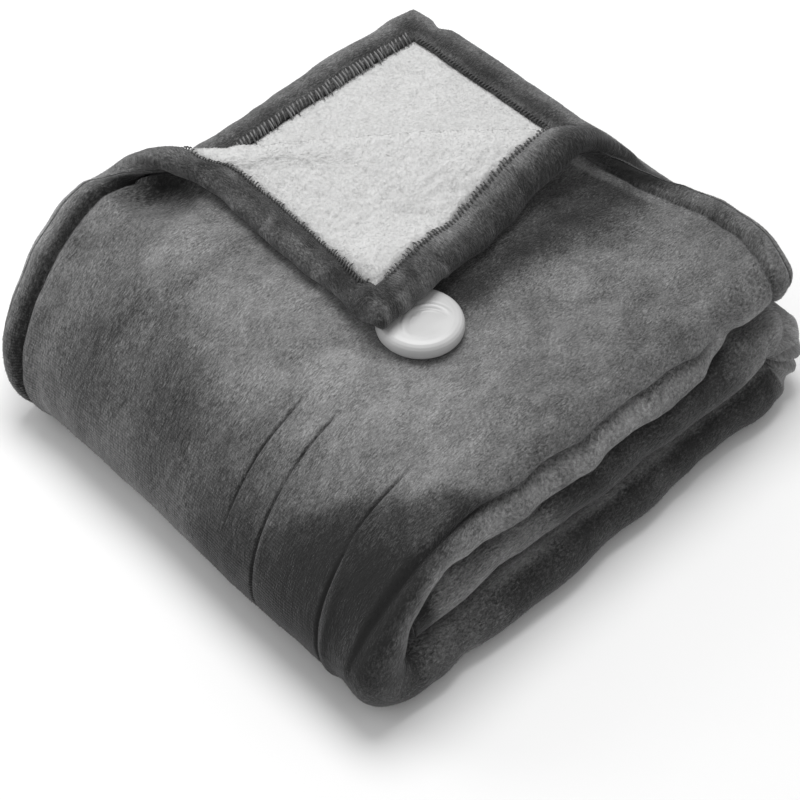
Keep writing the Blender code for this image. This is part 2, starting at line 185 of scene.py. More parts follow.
P0 = np.array(FLAP_LEFT)
ALONG = np.array(FLAP_RIGHT) - P0
SPAN = float(np.hypot(*ALONG))
ALONG = ALONG / SPAN
OUT = np.array([-ALONG[1], ALONG[0]])
IN_U = OUT * OUT[1] - ALONG * ALONG[1]
IN_V = ALONG * ALONG[0] - OUT * OUT[0]


def flap_bend(s):
    return FLAP_BEND + FLAP_BEND_MORE * smooth(s, 0.20 * SPAN, 1.0 * SPAN)


def flap_clear(x, y, back, start):
    d = np.hypot(x - CONNECTOR_AT[0], y - CONNECTOR_AT[1])
    over = FLAP_OVER_CONNECTOR * (1 - smooth(d, 0.050, 0.120))
    settled = np.maximum(FLAP_CLEAR, over)
    return settled + (start - settled) * (1 - smooth(back, 0.0, 0.10))


def curl(u, v, w, x, y, clear, back):
    """The flap's hems curl down beyond their stitch line: move in plan, and drop."""
    du, dv = np.maximum(HEM - u, 0.0), np.maximum(HEM - v, 0.0)
    d = np.hypot(du, dv)
    off = np.hypot(x - CONNECTOR_AT[0], y - CONNECTOR_AT[1]) - CONNECTOR_R[0]
    room = (clear - 0.0025 - CONNECTOR_H * (1 - smooth(off, 0.004, 0.016))) * smooth(back, 0.0, 0.05)
    angle = np.clip(room / 0.027, 0.0, FLAP_CURL_MOST)
    bent = np.minimum(d / FLAP_CURL, angle)
    rest = np.maximum(d - FLAP_CURL * angle, 0.0)
    out = FLAP_CURL * np.sin(bent) + rest * np.cos(bent) - w * np.sin(bent)
    down = FLAP_CURL * (1 - np.cos(bent)) + rest * np.sin(bent) - w * (1 - np.cos(bent))
    share = np.where(d > 0, (d - out) / np.maximum(d, 1e-6), 0.0)
    return (IN_U[0] * du + IN_V[0] * dv) * share, (IN_U[1] * du + IN_V[1] * dv) * share, np.where(d > 0, down, 0.0)


# valley along the top part's folded edge
#           u     place  depth   half width   (place: distance round the fold)
VALLEY = [(0.040, 0.0270, 0.0000, 0.0030),
          (0.090, 0.0268, 0.0026, 0.0030),
          (0.120, 0.0264, 0.0065, 0.0036),
          (0.160, 0.0250, 0.0105, 0.0056),
          (0.195, 0.0240, 0.0085, 0.0038),
          (0.230, 0.0232, 0.0060, 0.0026),
          (0.265, 0.0231, 0.0062, 0.0026),
          (0.290, 0.0230, 0.0105, 0.0050),
          (0.305, 0.0229, 0.0110, 0.0055),
          (0.325, 0.0222, 0.0065, 0.0030),
          (0.350, 0.0190, 0.0062, 0.0026),
          (0.375, 0.0125, 0.0075, 0.0030),
          (0.400, 0.0075, 0.0110, 0.0050),
          (0.415, 0.0055, 0.0100, 0.0052),
          (0.435, 0.0035, 0.0085, 0.0042),
          (0.460, 0.0015, 0.0065, 0.0038),
          (0.490, 0.0000, 0.0035, 0.0034),
          (0.520, -0.002, 0.0000, 0.0034)]


def fold(u, v, w):
    """Flat place -> folded place; small unevenness is added round the long fold."""
    u, v, w = np.broadcast_arrays(np.asarray(u, float), np.asarray(v, float), np.asarray(w, float))
    u_flat, v_flat = u, v
    # the cloth's own corners are soft, the far one blunter with a nick beside it
    for across, inward, much_u, much_v in ((v, 1, 0.45, 0.90), (WIDTH - v, -1, 0.5, 0.5)):
        pull = CORNER_ROUND * np.exp(-(np.hypot(u, across) / CORNER_REACH) ** 2) * 0.7071
        u, v = u + much_u * pull, v + inward * much_v * pull
    u = u + 0.0050 * bump(v, WIDTH - 0.030, 0.0075) * (1 - smooth(u, 0.0, 0.020))
    v = v + (0.0040 * (1 - smooth(u, 0.012, 0.050)) + 0.0030 * (1 - smooth(u, 0.12, 0.30))) * smooth(v, WIDTH - 0.030, WIDTH)
    u = u - 0.0045 * (1 - smooth(v, 0.06, 0.15)) * (1 - smooth(u, 0.0, 0.05))
    v = v + HEM_DRAWN * smooth(u, 0, 0.08) * (1 - smooth(u, 0.32, 0.40)) * (1 - smooth(v, 0, 0.035))
    closing = smooth(u, 1.28, 1.37)
    s = v - LAYER                                   # distance round the fold
    on = smooth(s, -0.040, 0.0) * (1 - smooth(s, HALF_TURN, HALF_TURN + 0.025))
    place, deep, wide = (table(VALLEY, k, u) for k in (1, 2, 3))
    side = np.where(s < place, 0.8, 1.5)             # steep above, easing into the roll below
    valley = deep * bump(s, place, wide * side)
    roll = 0.0030 * smooth(u, 0.10, 0.18) * (1 - smooth(u, 0.40, 0.46)) * bump(s, place + 0.0150, 0.0085)
    uneven = (0.0030 * LUMPS(u, s * 0.5, 0.048) + 0.0014 * LUMPS_B(u, s * 0.8, 0.019)) * on
    crumple = bump(u, (U_BOTTOM + U_TURN) / 2 + 0.004, 0.032) * bump(s, HALF_TURN / 2, 0.030)
    crumple = crumple * (0.0050 * np.cos(2 * pi * (u - U_BOTTOM) / 0.0175 + 2.6 * LUMPS_C(u, s, 0.030))
                         + 0.0018 * LUMPS_B(u + 0.3, s, 0.009) - 0.002)
    full = LAYER_HALF_GAP - END_CLOSED * closing + w
    r = np.maximum(full - valley + roll + uneven + crumple, 0.25 * full)
    a = np.clip(s / LAYER_HALF_GAP, 0, pi)
    x = np.where(v < LAYER, EDGE_LEFT + v, np.where(s > HALF_TURN, X_FOLD - (s - HALF_TURN), X_FOLD + r * np.sin(a)))
    n = np.where(v < LAYER, r, np.where(s > HALF_TURN, -r, r * np.cos(a)))
    y0, z0, ny, nz = path(u)
    y, z = y0 + n * ny, z0 + n * nz - END_SUNK * closing
    top = 1 - smooth(u, 0.36, 0.50)
    x = x - LEAN * n * smooth(x, X_FOLD - 0.10, X_FOLD) * top
    x = x - PINCH * smooth(u, 0.03, 0.10) * top * bump(s, PINCH_AT, PINCH_WIDE) * full / (LAYER_HALF_GAP + HALF_THICK)
    tuck = TUCK * (1 - smooth(u, 0.02, 0.13)) + TUCK_FRONT * bump(u, 0.425, 0.045)
    x = x - tuck * smooth(v - LAYER, 0.008, 0.042) * (1 - smooth(v - LAYER, HALF_TURN, HALF_TURN + 0.13))
    t = np.clip((x - EDGE_LEFT) / (X_FOLD - EDGE_LEFT), 0.0, 1.0)
    x = x + table(SIDES, 1, u) * (1 - t) + table(SIDES, 2, u) * t
    x = x + 0.010 * smooth(v, 0.60, WIDTH) * (1 - smooth(u, 0.25, 0.45))
    x = x - 0.009 * bump(u, 1.02, 0.05) * smooth(s, -0.03, 0.01)
    x = x + 0.008 * smooth(v, 0.80, WIDTH) * smooth(u, 0.40, 0.50)
    y = y - 0.026 * smooth(x, 0.165, 0.250) * (1 - smooth(u, 0.02, 0.20))
    y = y - table(DRAWN_BACK, 1, v) * (1 - smooth(u, 0.0, 0.30))
    y = y - 0.020 * smooth(u, 1.29, 1.425)
    y = y - FRONT_FULL * smooth(x, -0.10, 0.15) * smooth(u, 0.42, 0.52) * (1 - smooth(u, 0.58, 0.70))
    # hem edges wander a little
    wander = 0.0022 * LUMPS_B(u + v, v - u, 0.055) + 0.0010 * LUMPS_C(u + v, v - u, 0.021)
    x = x + wander * (1 - smooth(v, 0.0, 0.05)) + wander * smooth(v, WIDTH - 0.05, WIDTH)
    y = y + wander * (1 - smooth(u, 0.0, 0.05))
    # the corner of the upper layer turned down over the top
    turnable = (v < LAYER) & (u < 0.45)
    pulled = np.where(turnable, FLAP_PULLED, 0.0) * smooth(u_flat, 0.02, 0.30) * (1 - smooth(u_flat, 0.31, 0.39)) * (1 - smooth(v_flat, 0.02, 0.15))
    x, y = x + ALONG[0] * pulled, y + ALONG[1] * pulled
    px, py = x - P0[0], y - P0[1]
    s, q = px * ALONG[0] + py * ALONG[1], px * OUT[0] + py * OUT[1]
    rb = flap_bend(s)
    bow = FLAP_BOW * (1 - smooth(s, 0.05, 0.20))
    q = q + rb + bow
    m = turnable & (q > 0)
    turned = np.clip(q / rb, 0, pi)
    back = (q - pi * rb) * FLAP_DRAWN
    out = np.where(back > 0, -back, (rb - w) * np.sin(turned))
    s = s - FLAP_SLIDE * (np.maximum(back, 0) / 0.20) ** 2
    out = out - rb - bow
    fx, fy = P0[0] + ALONG[0] * s + OUT[0] * out, P0[1] + ALONG[1] * s + OUT[1] * out
    clear = flap_clear(fx, fy, back, 2 * rb - 2 * HALF_THICK)
    dx, dy, down = curl(u_flat, v_flat, w, fx, fy, clear, back)
    fx, fy = np.where(back > 0, fx + dx, fx), np.where(back > 0, fy + dy, fy)
    lift = SIDE_LIFTED * smooth(back, 0.0, 0.04) * (1 - smooth(s, 0.10, 0.20))
    fx, fy = fx + OUT[0] * lift, fy + OUT[1] * lift
    rise = np.where(back > 0, 2 * HALF_THICK + clear - 2 * w - down, rb - (rb - w) * np.cos(turned) - w)
    dip = 0.0125 * bump(u_flat, 0.339, 0.022) * bump(v_flat, 0.054, 0.028)
    x, y, z = np.where(m, fx, x), np.where(m, fy, y), np.where(m, z + rise, z - dip)
    z = z + CROWN * np.maximum(1 - (x / 0.275) ** 2, 0) * np.maximum(1 - (y / 0.295) ** 2, 0) * z / Z_TOP
    return np.stack([x + SHIFT[0], y + SHIFT[1], np.maximum(z, 0.0)], -1)


# creases (-) and small ridges (+) on the plush face, from one flat place to another
#          u1     v1     u2     v2     height   half width
LINES = [(0.384, 0.3000, 0.500, 0.2965, -0.0020, 0.0012),
         (0.388, 0.3330, 0.450, 0.3312, -0.0020, 0.0012),
         (0.438, 0.3308, 0.545, 0.3440, -0.0022, 0.0014),
         (0.384, 0.4130, 0.452, 0.4105, -0.0024, 0.0012),
         (0.440, 0.4100, 0.565, 0.4340, -0.0026, 0.0015),
         (0.450, 0.4200, 0.570, 0.4420, 0.0018, 0.0050),
         (0.400, 0.3375, 0.520, 0.3450, 0.0008, 0.0040),
         (0.398, 0.3030, 0.490, 0.3020, 0.0006, 0.0040),
         # gathers at the left end of the turned-down corner
         (0.326, 0.0300, 0.372, 0.0150, -0.0017, 0.0024),
         (0.328, 0.0370, 0.366, 0.0420, 0.0016, 0.0026),
         (0.326, 0.0450, 0.376, 0.0580, -0.0015, 0.0026),
         (0.324, 0.0550, 0.352, 0.0720, 0.0015, 0.0030),
         (0.318, 0.0660, 0.344, 0.0900, -0.0012, 0.0030),
         # soft swells by the connector and across the top
         (0.300, 0.2300, 0.345, 0.2750, 0.0020, 0.0110),
         (0.262, 0.3560, 0.330, 0.3860, 0.0014, 0.0100),
         (0.120, 0.3700, 0.260, 0.4300, 0.0016, 0.0140),
         (0.060, 0.3300, 0.150, 0.3300, 0.0020, 0.0130),
         (0.340, 0.1300, 0.420, 0.1700, -0.0018, 0.0160),
         (0.430, 0.2200, 0.500, 0.2350, 0.0012, 0.0120),
         # small folds near the corner's tip
         (0.030, 0.0020, 0.046, 0.0200, -0.0020, 0.0024),
         (0.050, -0.004, 0.062, 0.0180, -0.0015, 0.0026),
         (0.012, 0.0200, 0.026, 0.0080, 0.0014, 0.0028)]


def hem_width(u, v):
    """Edge to stitch line; less of it shows at the left, where the body bulges over."""
    return HEM - 0.0085 * smooth(u, 0.29, 0.37) * (v < 0.2) - 0.0080 * (1 - smooth(u, 0.10, 0.20)) * smooth(v, 0.20, 0.30)


def bulging(u, v):
    """Where the cloth bulges up beside its stitch line, at the left."""
    return smooth(u, 0.28, 0.36) * (v < 0.2)


def hem_puff(u, v, edge):
    """The turned hem's puffed band, full over its middle and gone at the outer edge."""
    t = np.clip((edge + 0.0062) / (hem_width(u, v) + 0.0062), 0, 1)
    return (0.0036 + 0.0009 * LUMPS_B(u, v, 0.034)) * np.sin(pi * t)


def lip_u(v):
    """The lip's width on the sherpa side along the free end."""
    return LIP * (1 - 0.13 * (1 - smooth(v, 0.02, 0.12)) + 0.12 * smooth(v, 0.55, 0.65))


def lip_v(u, v=0.0):
    """And along the sides; less of it shows at the turned-down corner's tip."""
    near = np.asarray(v) < WIDTH / 2
    return LIP * (1 - (0.09 + 0.21 * (1 - smooth(u, 0.03, 0.12))) * near + 0.25 * smooth(u, 0.20, 0.32) * (1 - smooth(u, 0.40, 0.50)) * ~near)


def relief(u, v):
    """Plush side: the hem's puffed band and stitch groove, creases and soft unevenness."""
    edge = np.minimum(np.minimum(u, v), np.minimum(LENGTH - u, WIDTH - v))
    h = hem_puff(u, v, edge)
    deep, hem = bulging(u, v), hem_width(u, v)
    h = h - (0.0034 + 0.0034 * deep) * bump(edge, hem, 0.0019 + 0.0017 * deep)
    h = h + (0.0008 + 0.0022 * deep) * bump(edge, hem + 0.012, 0.008)
    # gathers along the stitch line
    h = h + 0.0009 * LUMPS_C(u * 1.7, v * 1.7, 0.011) * bump(edge, hem, 0.010)
    for u1, v1, u2, v2, height, wide in LINES:
        du, dv = u2 - u1, v2 - v1
        long = np.hypot(du, dv)
        along = ((u - u1) * du + (v - v1) * dv) / long
        across = ((v - v1) * du - (u - u1) * dv) / long + 0.0007 * np.sin(90 * along + 300 * v1)
        ends = smooth(along, -0.004, 0.3 * long) * (1 - smooth(along, 0.6 * long, long + 0.004))
        h = h + height * ends * bump(across, 0, wide)
    h = h * (1 - smooth(u, 1.28, 1.34))
    top = 1 - smooth(u, 0.62, 0.70)
    h = h + top * (0.0014 * LUMPS(u, v, 0.085) + 0.0008 * LUMPS_B(u, v, 0.034) + 0.0003 * LUMPS_C(u, v, 0.013))
    return h


# =====================================================================
# meshes
# =====================================================================
def graded(*runs):
    """Stations along a line: (end, step) for each stretch from 0."""
    out = [0.0]
    for end, step in runs:
        n = max(1, int(round((end - out[-1]) / step)))
        out += [out[-1] + (end - out[-1]) * (i + 1) / n for i in range(n)]
    return np.array(out)


def new_object(name, co, faces, uv=None, smooth_faces=True):
    me = bpy.data.meshes.new(name)
    me.vertices.add(len(co))
    me.vertices.foreach_set("co", np.asarray(co, np.float32).ravel())
    sizes = np.array([len(f) for f in faces]) if not isinstance(faces, np.ndarray) else np.full(len(faces), faces.shape[1])
    flat = np.concatenate([np.asarray(f) for f in faces]) if not isinstance(faces, np.ndarray) else faces.ravel()
    me.loops.add(len(flat))
    me.loops.foreach_set("vertex_index", flat.astype(np.int32))
    me.polygons.add(len(sizes))
    me.polygons.foreach_set("loop_start", np.concatenate([[0], np.cumsum(sizes)[:-1]]).astype(np.int32))
    me.polygons.foreach_set("loop_total", sizes.astype(np.int32))
    if uv is not None:
        layer = me.uv_layers.new(name="flat_cloth")
        layer.data.foreach_set("uv", np.asarray(uv, np.float32)[flat].ravel())
    me.update(calc_edges=True)
    me.validate()
    if smooth_faces:
        me.polygons.foreach_set("use_smooth", np.ones(len(me.polygons), bool))
    ob = bpy.data.objects.new(name, me)
    bpy.context.scene.collection.objects.link(ob)
    return ob


def grid_quads(nu, nv):
    i, j = np.meshgrid(np.arange(nu - 1), np.arange(nv - 1), indexing="ij")
    a = (i * nv + j).ravel()
    return np.stack([a, a + nv, a + nv + 1, a + 1], 1)


def rim_of(us, vs):
    """Indices of a grid's border, in order, with each one's outward direction."""
    nu, nv = len(us), len(vs)
    idx = ([i * nv for i in range(nu)] + [(nu - 1) * nv + j for j in range(1, nv)]
           + [i * nv + nv - 1 for i in range(nu - 2, -1, -1)] + [j for j in range(nv - 2, 0, -1)])
    idx = np.array(idx)
    i, j = idx // nv, idx % nv
    return idx, (i == nu - 1).astype(int) - (i == 0), (j == nv - 1).astype(int) - (j == 0)


def face_cloth():
    us = graded((0.050, 0.0020), (0.300, 0.0040), (0.375, 0.0030), (0.620, 0.0042), (U_BOTTOM - 0.02, 0.010),
                (U_TURN + 0.015, 0.0028), (LENGTH - 0.03, 0.010), (LENGTH, 0.004))
    vs = graded((0.032, 0.0020), (0.090, 0.0028), (0.292, 0.0042), (0.304, 0.0009), (0.328, 0.0024), (0.347, 0.0009), (0.407, 0.0036), (0.437, 0.0009),
                (LAYER - 0.016, 0.0030), (LAYER + HALF_TURN + 0.004, 0.0018), (0.56, 0.006), (0.70, 0.030),
                (WIDTH - 0.04, 0.010), (WIDTH, 0.0045))
    U, V = (a.ravel() for a in np.meshgrid(us, vs, indexing="ij"))
    Wn = HALF_THICK + relief(U, V)
    co, uv = [fold(U, V, Wn)], [np.stack([U, V], 1)]
    quads = [grid_quads(len(us), len(vs))]
    rim, du, dv = rim_of(us, vs)
    ru, rv = U[rim], V[rim]
    base = HALF_THICK
    low = -base - LIP_DROP
    lipu, lipv = lip_u(rv), lip_v(ru, rv)
    lip = np.where(du != 0, lipu, lipv)
    corner = np.where((du != 0) & (dv != 0), 0.55, 1.0)
    rows = [("rim", a) for a in np.linspace(0, pi, 11)[1:]] + [("lip", k) for k in np.linspace(0, 1, 11)[1:]]
    rows += [("in", 0.0006), ("in", 0.0034)]
    total, prev = len(U), rim
    n = len(rim)
    for kind, k in rows:
        under = (0.0032 + 0.0008 * LUMPS_B(ru, rv, 0.026)
                 + 0.0020 * LUMPS_C(ru + rv, ru - rv, 0.015) * np.exp(-(np.hypot(ru, rv) / 0.10) ** 2))
        if kind == "rim":
            out_u = out_v = 0.0062 * sin(k) * (1 + 0.22 * LUMPS(ru, rv, 0.030)) * corner
            if k < pi / 2:
                w = base * cos(k) + hem_puff(ru, rv, -0.0062 * sin(k))
            else:
                w = -(base + LIP_DROP * (k > 3)) * -cos(k) - under * np.sin(pi * 0.0062 * (1 - sin(k)) / (lip + 0.0062))
        elif kind == "lip":
            wob = 0.0010 * LUMPS_B(ru + rv, ru - rv, 0.012) * (k > 0.75)
            out_u, out_v = wob - lipu * k, wob - lipv * k
            w = low - under * np.sin(pi * (lip * k + 0.0062) / (lip + 0.0062)) * (k < 1)
        else:
            out_u, out_v = -lipu - 0.0004, -lipv - 0.0004
            w = low + k
        keep_u, keep_v = np.maximum(-out_u, 0.0), np.maximum(-out_v, 0.0)
        u2 = np.where(du != 0, ru + du * out_u, np.clip(ru, keep_u, LENGTH - keep_u))
        v2 = np.where(dv != 0, rv + dv * out_v, np.clip(rv, keep_v, WIDTH - keep_v))
        co.append(fold(u2, v2, w + 0 * ru))
        uv.append(np.stack([u2, v2], 1))
        ids = np.arange(total, total + n)
        nxt = np.roll(ids, -1)
        quads.append(np.stack([prev, np.roll(prev, -1), nxt, ids], 1))
        prev, total = ids, total + n
    ob = new_object("plush_face_cloth", np.concatenate(co), np.concatenate(quads), np.concatenate(uv))
    tidy(ob)
    return ob


def tidy(ob):
    bm = bmesh.new()
    bm.from_mesh(ob.data)
    bmesh.ops.dissolve_degenerate(bm, edges=bm.edges[:], dist=2e-6)
    bmesh.ops.remove_doubles(bm, verts=bm.verts[:], dist=2e-6)
    bm.to_mesh(ob.data)
    bm.free()


def sherpa_height(u, v):
    """Bobbly pile, up to about 2 mm proud."""
    a = LUMPS(u, v, 0.0075) + 0.7 * LUMPS_B(u, v, 0.0042)
    b = 1 - np.abs(LUMPS_C(u + 0.2, v, 0.0095))
    more = 0.55 + 0.45 * (1 - smooth(v, 0.40, 0.60))           # bumpier on the turned-down corner
    return 0.0009 * more * a + 0.0012 * more * b + 0.0009 * LUMPS(u + 1, v, 0.045)


def lining_cloth():
    inset = 0.0125
    us = graded((0.300, 0.0023), (U_BOTTOM, 0.014), (U_TURN, 0.006), (LENGTH - 2 * inset, 0.014)) + inset
    vs = graded((0.300, 0.0023), (LAYER - inset, 0.016), (LAYER + HALF_TURN - inset, 0.006),
                (WIDTH - 0.300 - 2 * inset, 0.016), (WIDTH - 2 * inset, 0.0023)) + inset
    us[-1], vs[-1] = LENGTH - inset, WIDTH - inset
    U, V = (a.ravel() for a in np.meshgrid(us, vs, indexing="ij"))
    lipu, lipv = lip_u(V), lip_v(U, V)
    pressed = np.minimum(smooth(np.minimum(U, LENGTH - U), lipu - 0.002, lipu + 0.006),
                         smooth(np.minimum(V, WIDTH - V), lipv - 0.002, lipv + 0.006))
    w = -(HALF_THICK - 0.0042) - (0.0032 + sherpa_height(U, V)) * pressed - 0.0010 * pressed
    quads = grid_quads(len(us), len(vs))[:, ::-1]
    return new_object("sherpa_lining_cloth", fold(U, V, w), quads, np.stack([U, V], 1))


face = face_cloth()
lining = lining_cloth()


# =====================================================================
# materials
# =====================================================================
class Nodes:
    def __init__(self, name):
        self.mat = bpy.data.materials.new(name)
        self.mat.use_nodes = True
        self.tree = self.mat.node_tree
        self.p = self.tree.nodes["Principled BSDF"]

    def add(self, kind, **inputs):
        node = self.tree.nodes.new(kind)
        for key, value in inputs.items():
            if key.startswith("_"):
                setattr(node, key[1:], value)
            else:
                self.put(node.inputs[key.replace("__", " ")] if not key.isdigit() else node.inputs[int(key)], value)
        return node

    def put(self, socket, value):
        if isinstance(value, bpy.types.NodeSocket):
            self.tree.links.new(value, socket)
        else:
            socket.default_value = value

    def ramp(self, fac, stops):
        node = self.tree.nodes.new("ShaderNodeValToRGB")
        els = node.color_ramp.elements
        while len(els) < len(stops):
            els.new(0.5)
        for e, (pos, val) in zip(els, stops):
            e.position = pos
            e.color = (val, val, val, 1) if not hasattr(val, "__len__") else (*val, 1)
        self.put(node.inputs[0], fac)
        return node.outputs[0]

    def math(self, op, a, b=None, clamp=False):
        node = self.tree.nodes.new("ShaderNodeMath")
        node.operation, node.use_clamp = op, clamp
        self.put(node.inputs[0], a)
        if b is not None:
            self.put(node.inputs[1], b)
        return node.outputs[0]

    def noise(self, where, scale, detail=2.0, rough=0.5, distort=0.0):
        n = self.add("ShaderNodeTexNoise", Scale=scale, Detail=detail, Roughness=rough, Distortion=distort)
        self.put(n.inputs["Vector"], where)
        return n.outputs[0]

    def mapped(self, where, scale=(1, 1, 1), turn=0.0):
        m = self.add("ShaderNodeMapping")
        m.inputs["Scale"].default_value = scale
        m.inputs["Rotation"].default_value = (0, 0, turn)
        self.put(m.inputs["Vector"], where)
        return m.outputs[0]

    def bump(self, height, strength, distance, normal=None):
        b = self.add("ShaderNodeBump", Strength=strength, Distance=distance)
        self.put(b.inputs["Height"], height)
        if normal is not None:
            self.put(b.inputs["Normal"], normal)
        return b.outputs[0]


def plush_material():
    n = Nodes("plush_grey_pile")
    uv = n.add("ShaderNodeUVMap", _uv_map="flat_cloth").outputs[0]
    obj = n.add("ShaderNodeTexCoord").outputs["Object"]
    one = n.noise(n.mapped(uv, (270, 720, 1), 0.55), 1.0, 3.0, 0.62, 0.5)
    two = n.noise(n.mapped(uv, (300, 760, 1), -0.50), 1.0, 3.0, 0.62, 0.5)
    which = n.ramp(n.noise(n.mapped(uv, (22, 22, 1)), 1.0, 3.0, 0.6), [(0.42, 0.0), (0.58, 1.0)])
    mix = n.add("ShaderNodeMix", _data_type="FLOAT")
    n.put(mix.inputs[0], which)
    n.put(mix.inputs[2], one)
    n.put(mix.inputs[3], two)
    grain = mix.outputs[0]
    fine = n.noise(n.mapped(obj, (1100, 1100, 1100)), 1.0, 2.0, 0.6)
    mottle = n.noise(n.mapped(uv, (75, 95, 1), 0.3), 1.0, 3.0, 0.6, 0.6)
    patch = n.noise(n.mapped(uv, (19, 22, 1)), 1.0, 4.0, 0.55, 0.9)
    broad = n.noise(n.mapped(uv, (6, 6.5, 1), 0.4), 1.0, 2.0, 0.5, 0.4)
    ribs = n.add("ShaderNodeTexWave", Scale=1.0, Distortion=1.2, Detail=2.0, _wave_type="BANDS", _bands_direction="X")
    n.put(ribs.inputs["Vector"], n.mapped(uv, (185, 12, 1)))
    # brushed pile with painted shade and painted highlights, read from the mesh
    nap = n.add("ShaderNodeAttribute", _attribute_name="nap").outputs["Fac"]
    rib_on = n.add("ShaderNodeAttribute", _attribute_name="ribs").outputs["Fac"]

    def part(value, amount):
        return n.math("MULTIPLY", n.math("SUBTRACT", value, 0.5), amount)

    tone = n.math("ADD", 0.5, part(patch, 0.55))
    for value, amount in ((broad, 0.35), (grain, 1.25), (fine, 0.55), (mottle, 0.34)):
        tone = n.math("ADD", tone, part(value, amount))
    tone = n.math("ADD", tone, n.math("MULTIPLY", part(ribs.outputs["Fac"], 0.15), rib_on))
    tone = n.math("ADD", tone, nap)
    colour = n.ramp(tone, [(0.05, 0.022), (0.28, 0.055), (0.50, 0.122), (0.70, 0.205), (0.95, 0.33)])
    n.put(n.p.inputs["Base Color"], colour)
    n.p.inputs["Roughness"].default_value = 0.95
    n.p.inputs["Specular IOR Level"].default_value = 0.12
    n.p.inputs["Sheen Weight"].default_value = 0.35
    n.p.inputs["Sheen Roughness"].default_value = 0.45
    n.p.inputs["Sheen Tint"].default_value = (0.62, 0.62, 0.63, 1)
    h = n.math("ADD", n.math("MULTIPLY", grain, 0.7), n.math("MULTIPLY", fine, 0.3))
    b = n.bump(h, 0.8, 0.0022)
    rb = n.bump(n.math("MULTIPLY", ribs.outputs["Fac"], rib_on), 0.45, 0.0005, b)
    n.put(n.p.inputs["Normal"], n.bump(mottle, 0.45, 0.0030, rb))
    return n.mat


def sherpa_material():
    n = Nodes("sherpa_white_pile")
    uv = n.add("ShaderNodeUVMap", _uv_map="flat_cloth").outputs[0]
    curls = n.add("ShaderNodeTexVoronoi", Scale=1.0, _feature="SMOOTH_F1", Smoothness=0.5)
    warp = n.noise(n.mapped(uv, (120, 120, 1)), 1.0, 2.0, 0.5)
    n.put(curls.inputs["Vector"], n.add("ShaderNodeVectorMath", _operation="ADD").outputs[0])
    n.tree.links.new(n.mapped(uv, (290, 290, 1)), curls.inputs["Vector"].links[0].from_node.inputs[0])
    n.tree.links.new(warp, curls.inputs["Vector"].links[0].from_node.inputs[1])
    fine = n.noise(n.mapped(uv, (800, 800, 1)), 1.0, 3.0, 0.65, 1.0)
    soft = n.noise(n.mapped(uv, (35, 35, 1)), 1.0, 3.0, 0.5)
    t = n.math("ADD", n.math("MULTIPLY", curls.outputs["Distance"], -0.32), n.math("MULTIPLY", fine, 0.30))
    t = n.math("ADD", t, n.math("MULTIPLY", soft, 0.35))
    t = n.math("ADD", t, 0.38)
    n.put(n.p.inputs["Base Color"], n.ramp(t, [(0.20, (0.42, 0.42, 0.418)), (0.55, (0.56, 0.56, 0.557)), (0.85, (0.66, 0.66, 0.657))]))
    n.p.inputs["Roughness"].default_value = 1.0
    n.p.inputs["Specular IOR Level"].default_value = 0.1
    n.p.inputs["Sheen Weight"].default_value = 0.2
    n.p.inputs["Sheen Roughness"].default_value = 0.6
    h = n.math("ADD", n.math("MULTIPLY", curls.outputs["Distance"], -0.8), n.math("MULTIPLY", fine, 0.6))
    n.put(n.p.inputs["Normal"], n.bump(h, 0.7, 0.0018))
    return n.mat


def plastic_material():
    n = Nodes("connector_satin_plastic")
    obj = n.add("ShaderNodeTexCoord").outputs["Object"]
    grain = n.noise(n.mapped(obj, (2600, 2600, 2600)), 1.0, 2.0, 0.5)
    soft = n.noise(n.mapped(obj, (30, 30, 30)), 1.0, 2.0, 0.5)
    t = n.math("ADD", n.math("MULTIPLY", grain, 0.3), n.math("MULTIPLY", soft, 0.7))
    n.put(n.p.inputs["Base Color"], n.ramp(t, [(0.30, (0.475, 0.475, 0.475)), (0.70, (0.525, 0.525, 0.525))]))
    n.put(n.p.inputs["Roughness"], n.ramp(soft, [(0.3, 0.34), (0.7, 0.44)]))
    n.p.inputs["Coat Weight"].default_value = 0.12
    n.p.inputs["Coat Roughness"].default_value = 0.25
    n.put(n.p.inputs["Normal"], n.bump(grain, 0.12, 0.0003))
    return n.mat


def thread_material(name, dark, light):
    n = Nodes(name)
    obj = n.add("ShaderNodeTexCoord").outputs["Object"]
    twist = n.noise(n.mapped(obj, (1800, 1800, 1800)), 1.0, 2.0, 0.6)
    n.put(n.p.inputs["Base Color"], n.ramp(twist, [(0.3, dark), (0.7, light)]))
    n.p.inputs["Roughness"].default_value = 0.75
    n.put(n.p.inputs["Normal"], n.bump(twist, 0.5, 0.0004))
    return n.mat


PLUSH, SHERPA, PLASTIC = plush_material(), sherpa_material(), plastic_material()
THREAD, TUFTS = thread_material("overlock_thread", 0.035, 0.085), thread_material("caught_pile", 0.085, 0.25)
